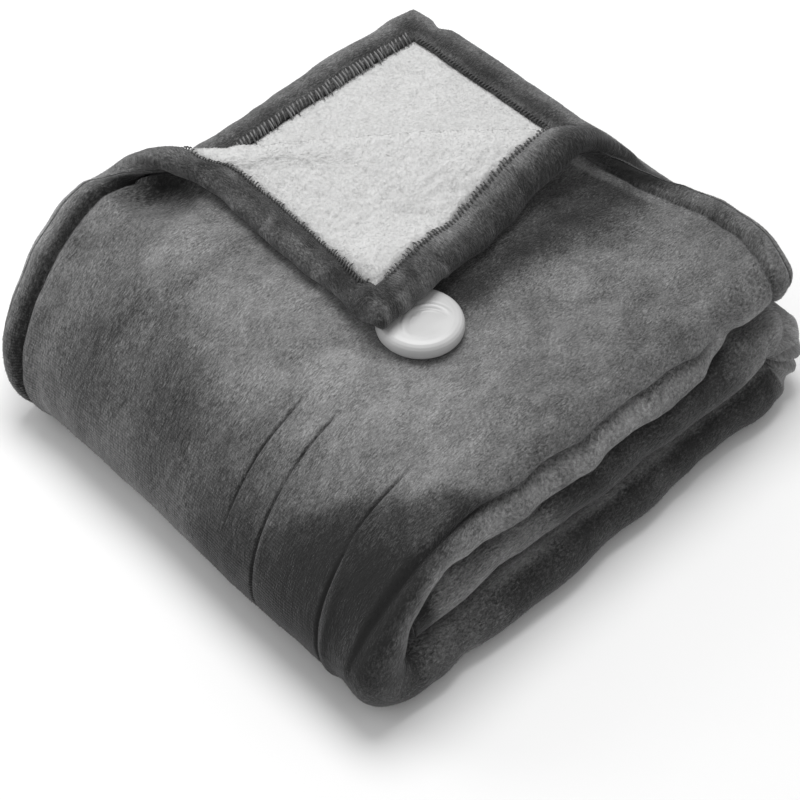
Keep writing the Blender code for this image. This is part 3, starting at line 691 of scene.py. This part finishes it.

# patches of brushed pile together with painted shade and painted highlights, lighter (+) or darker (-), placed on the
# flat cloth
#         u      v      length width strength
NAP_AND_PAINTED_LIGHT = [(0.440, 0.140, 0.050, 0.070, -0.16),
       (0.460, 0.200, 0.040, 0.050, -0.14),
       (0.500, 0.330, 0.050, 0.110, -0.20),
       (0.565, 0.462, 0.085, 0.052, -0.24),
       (0.520, 0.300, 0.035, 0.050, -0.16),
       (0.465, 0.090, 0.055, 0.045, -0.15),
       (0.450, 0.450, 0.030, 0.030, -0.14),
       (0.475, 0.375, 0.035, 0.050, -0.14),
       (0.321, 0.400, 0.050, 0.050, 0.12),
       (0.379, 0.435, 0.030, 0.030, 0.08),
       (0.480, 0.430, 0.050, 0.040, -0.12),
       (0.340, 0.320, 0.070, 0.070, 0.14),
       (0.400, 0.190, 0.035, 0.055, 0.10),
       (0.330, 0.180, 0.060, 0.090, 0.07),
       (0.200, 0.370, 0.080, 0.060, 0.05),
       (0.418, 0.462, 0.020, 0.010, 0.12),
       # painted shade: the dark pocket under the turned corner's left crest
       (0.342, 0.026, 0.022, 0.028, -0.30),
       (0.328, 0.056, 0.016, 0.036, -0.32),
       # painted highlight: a lit strip across the front roll
       (0.542, 0.200, 0.026, 0.190, 0.22),
       (0.020, 0.370, 0.040, 0.050, -0.08)]

# longer strips of it        u1     v1     u2     v2     half widths    strength
# painted shadow cast by the turned corner's right band, tapering to the connector
NAP_AND_PAINTED_LIGHT_STRIPS = [(0.000, 0.322, 0.292, 0.312, 0.027, 0.021, -0.44),
              # painted highlight: a narrow lit line across the front roll
              (0.548, 0.080, 0.548, 0.450, 0.006, 0.008, 0.30),
              (0.330, 0.010, 0.560, 0.012, 0.012, 0.012, -0.10)]


# brushed pile tone together with painted light: painted shade in grooves, creases, recesses and on faces turned from
# the light, painted highlights on lit rims and edges
def nap_of(u, v):
    s = v - LAYER
    nap = np.zeros(len(u))
    for cu, cv, lu, lv, amount in NAP_AND_PAINTED_LIGHT:
        nap += amount * np.exp(-((u - cu) / lu) ** 2 - ((v - cv) / lv) ** 2)
    for u1, v1, u2, v2, w1, w2, amount in NAP_AND_PAINTED_LIGHT_STRIPS:
        du, dv = u2 - u1, v2 - v1
        long = np.hypot(du, dv)
        k = ((u - u1) * du + (v - v1) * dv) / long ** 2
        across = ((v - v1) * du - (u - u1) * dv) / long
        nap += amount * np.exp(-(across / (w1 + (w2 - w1) * np.clip(k, 0, 1))) ** 2) * smooth(k, -0.1, 0.02) * (1 - smooth(k, 0.85, 1.1))
    edge = np.minimum(np.minimum(u, v), np.minimum(LENGTH - u, WIDTH - v))
    width, deep = hem_width(u, v), bulging(u, v)
    hem = 1 - smooth(edge, width - 0.006, width + 0.002)
    left = smooth(u, 0.28, 0.36) * (v < 0.2)
    turned = (1 - smooth(u + v, 0.30, 0.36))                    # the turned-down corner's hems
    end = 1 - smooth(u, 1.28, 1.32)
    hem = hem * end
    # hems: darker overall, lighter at the left, darker on the turned corner, with a painted highlight along the outer
    # rim
    nap += hem * (-0.09 + 0.20 * left - 0.14 * turned + (0.10 + 0.08 * left) * (1 - smooth(edge, -0.004, 0.009)))
    # the turned corner's right band: painted highlight along its stitches, painted shade outside; the far bands darker
    # inside
    band = (u < 0.05) * smooth(v, 0.05, 0.09) * (1 - smooth(v, 0.34, 0.38))
    nap += band * (0.26 * smooth(u, 0.009, 0.020) * (1 - smooth(u, 0.030, 0.036)) - 0.16 * (1 - smooth(u, -0.004, 0.012)))
    matted = (v < 0.05) * (1 - smooth(u, 0.26, 0.32)) * (0.5 + 0.5 * (1 - smooth(u, 0.05, 0.16)))
    nap += 0.30 * matted * smooth(LUMPS_C(u, v, 0.011) + 0.4 * LUMPS_B(u, v, 0.022), -0.5, 0.9) - 0.13 * matted
    far = (1 - smooth(u, 0.34, 0.38)) * smooth(v, 0.60, 0.64)
    nap -= 0.20 * far * smooth(edge, 0.006, 0.014) * (1 - smooth(edge, LIP + 0.004, LIP + 0.010))
    # painted shade in the groove along the stitch line, deeper where the body bulges over
    nap -= end * (0.15 + 0.23 * deep) * np.exp(-((edge - width + 0.002 * deep) / (0.0028 + 0.0037 * deep)) ** 2)
    # painted shade in the first creases
    for u1, v1, u2, v2, height, wide in LINES[:5]:
        du, dv = u2 - u1, v2 - v1
        long = np.hypot(du, dv)
        along = ((u - u1) * du + (v - v1) * dv) / long
        across = ((v - v1) * du - (u - u1) * dv) / long + 0.0007 * np.sin(90 * along + 300 * v1)
        nap -= 0.34 * smooth(along, -0.004, 0.3 * long) * (1 - smooth(along, 0.6 * long, long + 0.004)) * bump(across, 0, 1.1 * wide)
    # the side: painted shade over the middle part and over the bottom part below its rim; painted highlights on the
    # crumpled back turn, along the bottom part's rim and near its lower edge
    round_it = smooth(s, -0.012, 0.004)
    nap -= (0.42 - 0.54 * smooth(u, 1.25, 1.35) + 0.60 * smooth(u, 1.395, 1.415)) * smooth(u, U_TURN + 0.02, U_TURN + 0.07) * round_it
    nap += 0.34 * bump(u, (U_BOTTOM + U_TURN) / 2, 0.036) * bump(s, HALF_TURN / 2, 0.032)
    # painted light over the middle of the top
    nap += 0.05 * (1 - smooth(u, 0.38, 0.48)) * (1 - smooth(v, LAYER - 0.05, LAYER)) * smooth(edge, 0.02, 0.04)
    low = smooth(u, 0.60, 0.68) * (1 - smooth(u, U_BOTTOM - 0.01, U_BOTTOM + 0.02))
    nap -= 0.42 * low * round_it * (1 - smooth(s, 0.038, 0.046))
    nap += 0.20 * low * bump(s, 0.0490, 0.0045)
    nap += 0.34 * low * bump(s, 0.0165, 0.0035) * (0.55 + 0.45 * LUMPS_B(u, s * 0.3, 0.045))
    # the roll's right end is darker, up to a line across the top
    over = (u - 0.4395) * 0.792 + (v - 0.400) * 0.611
    side_lit = smooth(s, 0.010, 0.020) * (1 - smooth(u, 0.46, 0.52))
    nap -= 0.28 * smooth(over + 0.006 * LUMPS_B(u, v, 0.030), -0.021, -0.002) * smooth(v, 0.33, 0.39) * (1 - side_lit) * (1 - smooth(u, 0.50, 0.60)) * (s < HALF_TURN)
    # painted shade on the front roll's lower left, where it turns from the light
    nap -= 0.10 * smooth(u, 0.45, 0.50) * (1 - smooth(u, 0.56, 0.62)) * smooth(v, 0.22, 0.30) * (1 - smooth(v, 0.36, 0.42))
    # painted highlight along the top part's folded edge, below its valley
    first = 1 - smooth(u, 0.42, 0.52)
    nap += (0.18 + 0.10 * smooth(u, 0.34, 0.40)) * first * bump(s, 0.0290, 0.0090)
    # painted shade in the valley along the top part's folded edge
    nap -= 0.26 * (1 - smooth(u, 0.46, 0.54)) * bump(s, table(VALLEY, 1, u), 0.0038) * smooth(u, 0.08, 0.13)
    return nap


def paint(ob, uvs):
    u, v = uvs[:, 0], uvs[:, 1]
    ribs = smooth(u, 0.42, 0.52) * (1 - smooth(u, 0.62, 0.72)) * (1 - smooth(v, 0.36, 0.46))
    # the nap with its painted shade and painted highlights, and where the ribs show
    for name, values in (("nap", nap_of(u, v)), ("ribs", ribs)):
        a = ob.data.attributes.new(name, "FLOAT", "POINT")
        a.data.foreach_set("value", values.astype(np.float32))


def vertex_uv(ob):
    me = ob.data
    uv = np.zeros(len(me.loops) * 2, np.float32)
    me.uv_layers["flat_cloth"].data.foreach_get("uv", uv)
    vi = np.zeros(len(me.loops), np.int32)
    me.loops.foreach_get("vertex_index", vi)
    out = np.zeros((len(me.vertices), 2))
    out[vi] = uv.reshape(-1, 2)
    return out


paint(face, vertex_uv(face))
face.data.materials.append(PLUSH)
lining.data.materials.append(SHERPA)


# =====================================================================
# pile standing up from the cloth: one joined mesh of small blades each
# =====================================================================
def pile(name, host, count, length, width, lift, stray, seed, share, mat, colours):
    """Blades on the host's triangles; share(u, v) says how thick the pile stands."""
    rng = np.random.default_rng(seed)
    me = host.data
    me.calc_loop_triangles()
    tri = np.zeros(len(me.loop_triangles) * 3, np.int32)
    me.loop_triangles.foreach_get("vertices", tri)
    tri = tri.reshape(-1, 3)
    co = np.zeros(len(me.vertices) * 3)
    me.vertices.foreach_get("co", co)
    co = co.reshape(-1, 3)
    no = np.zeros(len(me.vertices) * 3)
    me.vertices.foreach_get("normal", no)
    no = no.reshape(-1, 3)
    uv = vertex_uv(host)
    a, b, c = (co[tri[:, k]] for k in range(3))
    area = np.linalg.norm(np.cross(b - a, c - a), axis=1)
    mid = uv[tri].mean(1)
    weight = area * share(mid[:, 0], mid[:, 1])
    pick = rng.choice(len(tri), count, p=weight / weight.sum())
    r1, r2 = np.sqrt(rng.random(count)), rng.random(count)
    bary = np.stack([1 - r1, r1 * (1 - r2), r1 * r2], 1)[:, :, None]
    at = (co[tri[pick]] * bary).sum(1)
    n = (no[tri[pick]] * bary).sum(1)
    n /= np.linalg.norm(n, axis=1)[:, None]
    place = (uv[tri[pick]] * bary).sum(1)
    # laid over mostly one way, as brushed, with strays
    lay = np.stack([0.5 + 0.6 * LUMPS(place[:, 0], place[:, 1], 0.05), -0.3 + 0.6 * LUMPS_B(place[:, 0], place[:, 1], 0.06),
                    0 * place[:, 0] - 0.4], 1) + rng.normal(0, stray, (count, 3))
    lay -= n * (lay * n).sum(1)[:, None]
    lay /= np.maximum(np.linalg.norm(lay, axis=1), 1e-6)[:, None]
    side = np.cross(n, lay)
    size = length * rng.uniform(0.6, 1.2, count)[:, None]
    tip = at + n * size * lift + lay * size * (1 - lift)
    half = side * width * 0.5
    root = at - n * 0.0003
    verts = np.stack([root + half, root - half, tip], 1).reshape(-1, 3)
    verts[:, 2] = np.maximum(verts[:, 2], 0.0)
    faces = np.arange(count * 3).reshape(-1, 3)
    ob = new_object(name, verts, faces, np.repeat(place, 3, 0))
    soft = n + 0.22 * rng.normal(0, 1, (count, 3))
    soft /= np.linalg.norm(soft, axis=1)[:, None]
    ob.data.normals_split_custom_set_from_vertices(np.repeat(soft, 3, 0).tolist())
    # the plush blades carry the cloth's nap with its painted shade and painted highlights
    if colours:
        paint(ob, np.repeat(place, 3, 0))
    ob.data.materials.append(mat)
    return ob


def plush_share(u, v):
    edge = np.minimum(np.minimum(u, v), np.minimum(LENGTH - u, WIDTH - v))
    out = (u < U_BOTTOM) * (v < LAYER + HALF_TURN + 0.01) * (1 - smooth(u, 0.66, 0.74) * (v < LAYER - 0.01))
    out = out + 0.6 * (u > U_BOTTOM - 0.05) * (v > LAYER - 0.01) * (v < LAYER + HALF_TURN + 0.01)
    return 0.8 * out + 1.8 * (edge < HEM) * ((u < 0.5) | (edge < 0.01)) + 0.002


def sherpa_share(u, v):
    edge = np.minimum(np.minimum(u - 0.2 * LIP, v - 0.2 * LIP), WIDTH - v - 0.2 * LIP)
    shown = (u < 0.36) & ((v < 0.36) | (v > WIDTH - 0.36))
    return shown * (0.8 + 3.0 * bump(edge, 0.8 * LIP, 0.005)) + 0.001


plush_pile = pile("plush_pile", face, 185000, 0.0021, 0.00042, 0.42, 0.7, 21, plush_share, PLUSH, True)
sherpa_pile = pile("sherpa_pile", lining, 120000, 0.0032, 0.00060, 0.30, 1.6, 22, sherpa_share, SHERPA, False)


# =====================================================================
# connector: a rounded puck with a dished grip
# =====================================================================
def connector_piece():
    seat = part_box("connector")[0][2]
    #           radius  height
    profile = [(0.000, 0.000), (0.900, 0.000), (0.960, 0.050), (0.988, 0.160), (1.000, 0.330), (0.996, 0.520),
               (0.975, 0.690), (0.930, 0.830), (0.860, 0.915), (0.760, 0.960), (0.620, 0.982), (0.450, 0.993),
               (0.300, 0.998), (0.150, 1.000)]
    fine = []
    for (r0, h0), (r1, h1) in zip(profile, profile[1:]):
        steps = 1 if r0 < 0.85 and h0 == 0 else 4 if r1 > 0.8 else 9
        fine += [(r0 + (r1 - r0) * k / steps, h0 + (h1 - h0) * k / steps) for k in range(steps)]
    fine += [profile[-1]]
    turns = 120
    ang = np.linspace(0, 2 * pi, turns, endpoint=False)
    co, quads = [], []
    for r, h in fine[1:]:
        x, y = r * CONNECTOR_R[0] * np.cos(ang), r * CONNECTOR_R[1] * np.sin(ang)
        z = h * CONNECTOR_H + 0 * ang
        co.append(np.stack([x, y, z], 1))
    rings = len(co)
    co.append(np.array([[0, 0, CONNECTOR_H]]))
    co.append(np.array([[0, 0, 0.0]]))
    co = np.concatenate(co)
    c, s = cos(CONNECTOR_TURN), sin(CONNECTOR_TURN)
    co[:, 0], co[:, 1] = co[:, 0] * c - co[:, 1] * s, co[:, 0] * s + co[:, 1] * c
    # dished grip toward +X, its rim crisp on the -X side and fading round to the other
    top = smooth(co[:, 2], 0.6 * CONNECTOR_H, 0.9 * CONNECTOR_H)
    dx, dy = co[:, 0] - 0.0110, co[:, 1] + 0.0010
    d = np.hypot(dx, dy)
    crisp = smooth(-dx * 0.98 + dy * 0.20, -0.004, 0.013)
    depth = 0.0013 * (1 - smooth(d, 0.0165, 0.0192)) * crisp + 0.0006 * (1 - smooth(d, 0.002, 0.020)) * (1 - crisp)
    rim = crisp * (0.00040 * bump(d, 0.0205, 0.0010) + 0.00022 * bump(d, 0.0150, 0.0007) - 0.00020 * bump(d, 0.0228, 0.0009))
    co[:, 2] += top * (rim - depth)
    faces = []
    for k in range(rings - 1):
        a = k * turns + np.arange(turns)
        b = k * turns + (np.arange(turns) + 1) % turns
        faces += list(np.stack([a, b, b + turns, a + turns], 1))
    last, first = (rings - 1) * turns, 0
    for i in range(turns):
        j = (i + 1) % turns
        faces.append(np.array([last + i, last + j, rings * turns]))
        faces.append(np.array([first + j, first + i, rings * turns + 1]))
    place = co + np.array([CONNECTOR_AT[0] + SHIFT[0], CONNECTOR_AT[1] + SHIFT[1], seat])
    ob = new_object("connector_housing", place, faces)
    ob.data.materials.append(PLASTIC)
    return ob


housing = connector_piece()


# =====================================================================
# overlock stitches along the hem's edge on the sherpa side
# =====================================================================
def tubes(name, runs, radius, mat, sides=5):
    """One mesh of many short tubes; runs is (count, points, 3)."""
    count, pts, _ = runs.shape
    t = np.gradient(runs, axis=1)
    t /= np.maximum(np.linalg.norm(t, axis=2, keepdims=True), 1e-9)
    ref = np.array([0.13, 0.31, 0.94])
    a = np.cross(t, ref)
    a /= np.maximum(np.linalg.norm(a, axis=2, keepdims=True), 1e-9)
    b = np.cross(t, a)
    ang = np.linspace(0, 2 * pi, sides, endpoint=False)
    taper = np.array([0.6] + [1.0] * (pts - 3) + [0.75, 0.30])[None, :, None, None]
    ring = (runs[:, :, None, :] + radius * taper * (a[:, :, None, :] * np.cos(ang)[None, None, :, None]
                                                    + b[:, :, None, :] * np.sin(ang)[None, None, :, None]))
    co = ring.reshape(-1, 3)
    base = (np.arange(count) * pts * sides)[:, None, None]
    k = np.arange(pts - 1)[None, :, None] * sides
    s = np.arange(sides)[None, None, :]
    s2 = (s + 1) % sides
    q = np.stack([base + k + s, base + k + s2, base + k + sides + s2, base + k + sides + s], -1).reshape(-1, 4)
    ob = new_object(name, co, q)
    ob.data.materials.append(mat)
    return ob


#        along u or v, fixed edge, from, to, pitch, reach on hem, reach on sherpa, lean
STITCH_LINES = [("u", "far", 0.0322, 0.345, 0.0042, 0.0062, 0.0046, 0.0050),
                ("v", "far", WIDTH - 0.345, WIDTH - 0.030, 0.0036, 0.0024, 0.0022, 0.0010),
                ("u", "near", 0.030, 0.345, 0.0036, 0.0024, 0.0022, 0.0010),
                ("v", "near", 0.030, 0.345, 0.0036, 0.0024, 0.0022, 0.0010)]
# pale pile caught between the stitches of the far side
CAUGHT_LINES = [("u", "far", 0.0301, 0.345, 0.0042, 0.0105, 0.0020, 0.0050)]


def stitches(name, lines, radius, mat, seed):
    rng = np.random.default_rng(seed)
    runs = []
    for way, side, a, b, pitch, on_hem, on_pile, slant in lines:
        at = np.arange(a, b, pitch)
        at = at + rng.uniform(-0.0003, 0.0003, len(at))
        t = np.linspace(0, 1, 6)[None, :]
        lean = slant + rng.uniform(-0.0004, 0.0004, (len(at), 1))
        lip = lip_v(at[:, None], WIDTH if side == "far" else 0.0) if way == "u" else lip_u(at[:, None])
        d = lip - on_hem + (on_hem + on_pile) * t * rng.uniform(0.70, 1.45, (len(at), 1))
        along = at[:, None] + lean * t
        w = -HALF_THICK - LIP_DROP - 0.0014 * np.sin(pi * np.clip(t * 0.9 + 0.1, 0, 1)) - 0.0004 + 0 * along
        if way == "u":
            u, v = along, d if side == "near" else WIDTH - d
        else:
            u, v = d, along
        runs.append(fold(u, v, w))
    return tubes(name, np.concatenate(runs), radius, mat)


stitch = stitches("overlock_stitches", STITCH_LINES, 0.00078, THREAD, 5)
caught = stitches("caught_tufts", CAUGHT_LINES, 0.00085, TUFTS, 6)

# =====================================================================
# riding and replacing
# =====================================================================
for piece in (face, lining, housing, stitch, caught, plush_pile, sherpa_pile):
    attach(piece, "root")
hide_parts("face_panel")
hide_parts("lining_panel")
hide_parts("connector")

# =====================================================================
# floor, light and camera
# =====================================================================
bpy.ops.mesh.primitive_plane_add(size=14, location=(0, 0, -0.0004))
floor = bpy.context.object
floor.name = "floor"
fm = Nodes("pale_floor")
fc = fm.noise(fm.mapped(fm.add("ShaderNodeTexCoord").outputs["Object"], (3, 3, 3)), 1.0, 2.0, 0.5)
fm.put(fm.p.inputs["Base Color"], fm.ramp(fc, [(0.3, 0.86), (0.7, 0.88)]))
fm.p.inputs["Roughness"].default_value = 0.9
floor.data.materials.append(fm.mat)

bpy.context.scene.view_settings.view_transform = "Standard"
world = bpy.data.worlds.new("soft_sky")
bpy.context.scene.world = world
world.use_nodes = True
world.node_tree.nodes["Background"].inputs[0].default_value = (1, 1, 1, 1)
world.node_tree.nodes["Background"].inputs[1].default_value = 0.55


def soft_light(name, at, size, power):
    data = bpy.data.lights.new(name, "AREA")
    data.shape, data.size, data.energy = "DISK", size, power
    ob = bpy.data.objects.new(name, data)
    bpy.context.scene.collection.objects.link(ob)
    ob.location = at
    ob.rotation_euler = (Vector((0, 0, 0.08)) - Vector(at)).to_track_quat("-Z", "Y").to_euler()
    return ob


soft_light("key", (-0.5, 0.35, 2.3), 1.5, 42)
soft_light("rim", (-1.7, -0.9, 1.1), 1.2, 9)

AZ, EL, DIST, FOCAL = radians(46.0), radians(50.0), 2.26, 120.0
back = Vector((sin(AZ) * cos(EL), -cos(AZ) * cos(EL), sin(EL)))
right = Vector((cos(AZ), sin(AZ), 0))
up = Vector((-sin(EL) * sin(AZ), sin(EL) * cos(AZ), cos(EL)))
px = DIST / (FOCAL / 36 * 800)                 # metres per pixel at the bundle
data = bpy.data.cameras.new("camera")
data.lens, data.sensor_width = FOCAL, 36
cam = bpy.data.objects.new("camera", data)
bpy.context.scene.collection.objects.link(cam)
cam.location = Vector((SHIFT[0], SHIFT[1], 0)) + back * DIST - right * (1 * px) - up * (29 * px)
cam.rotation_euler = Matrix((right, up, back)).transposed().to_euler()
data.clip_start, data.clip_end = 0.05, 30
bpy.context.scene.camera = cam

bpy.context.view_layer.update()
